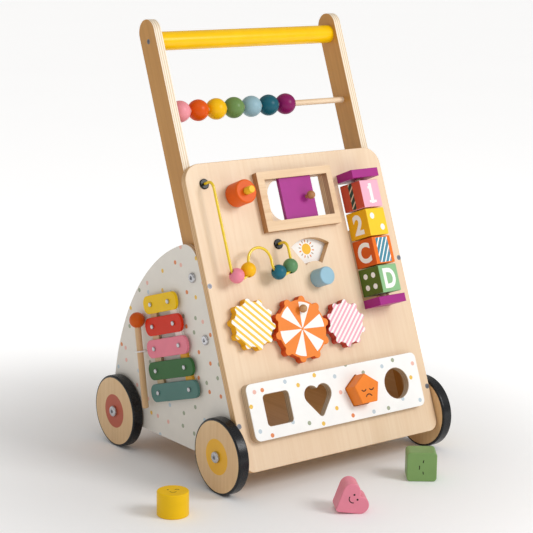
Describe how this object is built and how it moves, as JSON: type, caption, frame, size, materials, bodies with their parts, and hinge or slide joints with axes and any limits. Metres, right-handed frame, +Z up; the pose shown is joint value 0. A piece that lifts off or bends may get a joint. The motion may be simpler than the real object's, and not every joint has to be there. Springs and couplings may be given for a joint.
{
  "type": "baby walker",
  "caption": "Wooden push-along baby walker with a leaning activity panel, handle rails, abacus, gears, shape sorter, turning cubes, side xylophone and rubber-tyred wheels.",
  "frame": {"origin": "centre of the whole outline at floor level, loose blocks included", "axes": "+X to the right seen from the panel side, +Y to the rear where the child stands, +Z up"},
  "size_m": [0.3776, 0.368, 0.4715],
  "materials": {
    "birch": "clear satin lacquer on birch plywood",
    "rail_wood": "clear satin lacquer",
    "beech": "clear satin lacquer",
    "cream_paint": "satin paint with printed dots",
    "white_paint": "satin paint with printed dots",
    "yellow_paint": "satin paint",
    "orange_paint": "satin paint",
    "pink_paint": "satin paint",
    "green_paint": "satin paint",
    "light_blue_paint": "satin paint",
    "teal_paint": "satin paint",
    "plum_paint": "satin paint",
    "terracotta_paint": "satin paint",
    "steel": "zinc plated",
    "bar_paint": "satin paint, a colour for each bar",
    "wire_paint": "gloss paint",
    "tyre": "smooth satin rubber",
    "black_plastic": "gloss",
    "picture_card": "printed"
  },
  "bodies": {
    "walker_frame": {"front_panel": "birch", "side_panels": "cream_paint", "rails": "rail_wood", "handle_bar": "yellow_paint", "abacus_rod": "beech", "tray_floor": "birch", "back_board": "birch", "rear_beam": "beech", "sorter_board": "white_paint", "door_frame": "birch", "block_brackets": "plum_paint", "block_axle": "beech", "bead_wire": "wire_paint", "grommets": "black_plastic", "threaded_pin": "yellow_paint", "gear_pins": "beech", "xylophone_bars": "bar_paint", "xylophone_rails": "beech", "xylophone_pins": "steel", "wood_screws": "steel", "side_bolts": "steel", "axle_bolts": "steel"},
    "wheel_front_left": {"wheel_disc_front_left": "beech", "tyre_front_left": "tyre"},
    "wheel_front_right": {"wheel_disc_front_right": "beech", "tyre_front_right": "tyre"},
    "wheel_rear_left": {"wheel_disc_rear_left": "beech", "tyre_rear_left": "tyre"},
    "wheel_rear_right": {"wheel_disc_rear_right": "beech", "tyre_rear_right": "tyre"},
    "bead_1": {"abacus_bead_1": "pink_paint"},
    "bead_2": {"abacus_bead_2": "orange_paint"},
    "bead_3": {"abacus_bead_3": "yellow_paint"},
    "bead_4": {"abacus_bead_4": "green_paint"},
    "bead_5": {"abacus_bead_5": "light_blue_paint"},
    "bead_6": {"abacus_bead_6": "teal_paint"},
    "bead_7": {"abacus_bead_7": "plum_paint"},
    "wire_bead_1_body": {"wire_bead_1": "pink_paint"},
    "wire_bead_2_body": {"wire_bead_2": "yellow_paint"},
    "wire_bead_3_body": {"wire_bead_3": "teal_paint"},
    "wire_bead_4_body": {"wire_bead_4": "green_paint"},
    "nut": {"round_nut": "orange_paint"},
    "door": {"sliding_door": "plum_paint", "door_knob": "beech"},
    "dial": {"dial_knob": "light_blue_paint", "picture_disc": "picture_card"},
    "gear_yellow_body": {"gear_yellow": "yellow_paint"},
    "gear_orange_body": {"gear_orange": "orange_paint", "gear_knob": "beech"},
    "gear_pink_body": {"gear_pink": "pink_paint"},
    "cube_1_body": {"cube_1": "pink_paint"},
    "cube_2_body": {"cube_2": "yellow_paint"},
    "cube_3_body": {"cube_3": "orange_paint"},
    "cube_4_body": {"cube_4": "green_paint"},
    "mallet": {"mallet_handle": "beech", "mallet_head": "orange_paint"},
    "pentagon": {"pentagon_block": "orange_paint"},
    "cylinder_on_floor": {"cylinder_block": "yellow_paint"},
    "heart_on_floor": {"heart_block": "pink_paint"},
    "square_on_floor": {"square_block": "green_paint"}
  },
  "joints": [
    {"name": "front_left_wheel_spin", "type": "hinge", "parent": "walker_frame", "child": "wheel_front_left", "pos_m": [-0.09825, -0.05098, 0.04], "axis": [1, 0, 0], "continuous": true},
    {"name": "front_right_wheel_spin", "type": "hinge", "parent": "walker_frame", "child": "wheel_front_right", "pos_m": [0.17925, -0.05098, 0.04], "axis": [1, 0, 0], "continuous": true},
    {"name": "rear_left_wheel_spin", "type": "hinge", "parent": "walker_frame", "child": "wheel_rear_left", "pos_m": [-0.09825, 0.14402, 0.04], "axis": [1, 0, 0], "continuous": true},
    {"name": "rear_right_wheel_spin", "type": "hinge", "parent": "walker_frame", "child": "wheel_rear_right", "pos_m": [0.17925, 0.14402, 0.04], "axis": [1, 0, 0], "continuous": true},
    {"name": "abacus_bead_1_slide", "type": "slide", "parent": "walker_frame", "child": "bead_1", "axis": [1, 0, 0], "range_m": [0, 0.00994]},
    {"name": "abacus_bead_2_slide", "type": "slide", "parent": "walker_frame", "child": "bead_2", "axis": [1, 0, 0], "range_m": [0, 0.01989]},
    {"name": "abacus_bead_3_slide", "type": "slide", "parent": "walker_frame", "child": "bead_3", "axis": [1, 0, 0], "range_m": [0, 0.02983]},
    {"name": "abacus_bead_4_slide", "type": "slide", "parent": "walker_frame", "child": "bead_4", "axis": [1, 0, 0], "range_m": [0, 0.03977]},
    {"name": "abacus_bead_5_slide", "type": "slide", "parent": "walker_frame", "child": "bead_5", "axis": [1, 0, 0], "range_m": [0, 0.04972]},
    {"name": "abacus_bead_6_slide", "type": "slide", "parent": "walker_frame", "child": "bead_6", "axis": [1, 0, 0], "range_m": [0, 0.05966]},
    {"name": "abacus_bead_7_slide", "type": "slide", "parent": "walker_frame", "child": "bead_7", "axis": [1, 0, 0], "range_m": [0, 0.0696]},
    {"name": "wire_bead_1_travel", "type": "hinge", "parent": "walker_frame", "child": "wire_bead_1_body", "pos_m": [-0.05735, -0.02488, 0.22688], "axis": [0, -0.933, 0.36], "range_deg": [-9, 1]},
    {"name": "wire_bead_2_travel", "type": "hinge", "parent": "walker_frame", "child": "wire_bead_2_body", "pos_m": [-0.05735, -0.02488, 0.22688], "axis": [0, -0.933, 0.36], "range_deg": [-1, 6]},
    {"name": "wire_bead_3_travel", "type": "hinge", "parent": "walker_frame", "child": "wire_bead_3_body", "pos_m": [-0.004, -0.02542, 0.22548], "axis": [0, -0.933, 0.36], "range_deg": [-9, 1]},
    {"name": "wire_bead_4_travel", "type": "hinge", "parent": "walker_frame", "child": "wire_bead_4_body", "pos_m": [-0.004, -0.02542, 0.22548], "axis": [0, -0.933, 0.36], "range_deg": [-1, 6]},
    {"name": "round_nut_spin", "type": "hinge", "parent": "walker_frame", "child": "nut", "pos_m": [-0.0335, 0.00649, 0.29709], "axis": [0, -0.933, 0.36], "continuous": true},
    {"name": "door_slide", "type": "slide", "parent": "walker_frame", "child": "door", "axis": [1, 0, 0], "range_m": [-0.0205, 0.0202]},
    {"name": "picture_dial_spin", "type": "hinge", "parent": "walker_frame", "child": "dial", "pos_m": [0.0505, -0.01788, 0.2006], "axis": [0, -0.933, 0.36], "continuous": true},
    {"name": "yellow_gear_spin", "type": "hinge", "parent": "walker_frame", "child": "gear_yellow_body", "pos_m": [-0.0508, -0.03601, 0.1675], "axis": [0, -0.933, 0.36], "continuous": true},
    {"name": "orange_gear_spin", "type": "hinge", "parent": "walker_frame", "child": "gear_orange_body", "pos_m": [0.0091, -0.04083, 0.155], "axis": [0, -0.933, 0.36], "continuous": true},
    {"name": "pink_gear_spin", "type": "hinge", "parent": "walker_frame", "child": "gear_pink_body", "pos_m": [0.0686, -0.04155, 0.15314], "axis": [0, -0.933, 0.36], "continuous": true},
    {"name": "cube_1_spin", "type": "hinge", "parent": "walker_frame", "child": "cube_1_body", "pos_m": [0.1245, -0.00009, 0.28002], "axis": [0, 0.36, 0.933], "continuous": true},
    {"name": "cube_2_spin", "type": "hinge", "parent": "walker_frame", "child": "cube_2_body", "pos_m": [0.1245, -0.0114, 0.25072], "axis": [0, 0.36, 0.933], "continuous": true},
    {"name": "cube_3_spin", "type": "hinge", "parent": "walker_frame", "child": "cube_3_body", "pos_m": [0.1245, -0.0227, 0.22143], "axis": [0, 0.36, 0.933], "continuous": true},
    {"name": "cube_4_spin", "type": "hinge", "parent": "walker_frame", "child": "cube_4_body", "pos_m": [0.1245, -0.034, 0.19214], "axis": [0, 0.36, 0.933], "continuous": true},
    {"name": "mallet_pull", "type": "slide", "parent": "walker_frame", "child": "mallet", "axis": [0, 0.1702, 0.9854], "range_m": [0, 0.06]},
    {"name": "pentagon_push", "type": "slide", "parent": "walker_frame", "child": "pentagon", "axis": [0, -0.933, 0.36], "range_m": [-0.02, 0.008]},
    {"name": "cylinder_block_lift", "type": "slide", "parent": "walker_frame", "child": "cylinder_on_floor", "axis": [0, 0, 1], "range_m": [0, 0.05]},
    {"name": "heart_block_lift", "type": "slide", "parent": "walker_frame", "child": "heart_on_floor", "axis": [0, 0, 1], "range_m": [0, 0.05]},
    {"name": "square_block_lift", "type": "slide", "parent": "walker_frame", "child": "square_on_floor", "axis": [0, 0, 1], "range_m": [0, 0.05]}
  ],
  "couplings": [
    {"joint": "abacus_bead_1_slide", "follows": "abacus_bead_7_slide", "ratio": 0.14286},
    {"joint": "abacus_bead_2_slide", "follows": "abacus_bead_7_slide", "ratio": 0.28571},
    {"joint": "abacus_bead_3_slide", "follows": "abacus_bead_7_slide", "ratio": 0.42857},
    {"joint": "abacus_bead_4_slide", "follows": "abacus_bead_7_slide", "ratio": 0.57143},
    {"joint": "abacus_bead_5_slide", "follows": "abacus_bead_7_slide", "ratio": 0.71429},
    {"joint": "abacus_bead_6_slide", "follows": "abacus_bead_7_slide", "ratio": 0.85714},
    {"joint": "yellow_gear_spin", "follows": "orange_gear_spin", "ratio": -1},
    {"joint": "pink_gear_spin", "follows": "orange_gear_spin", "ratio": -1}
  ]
}
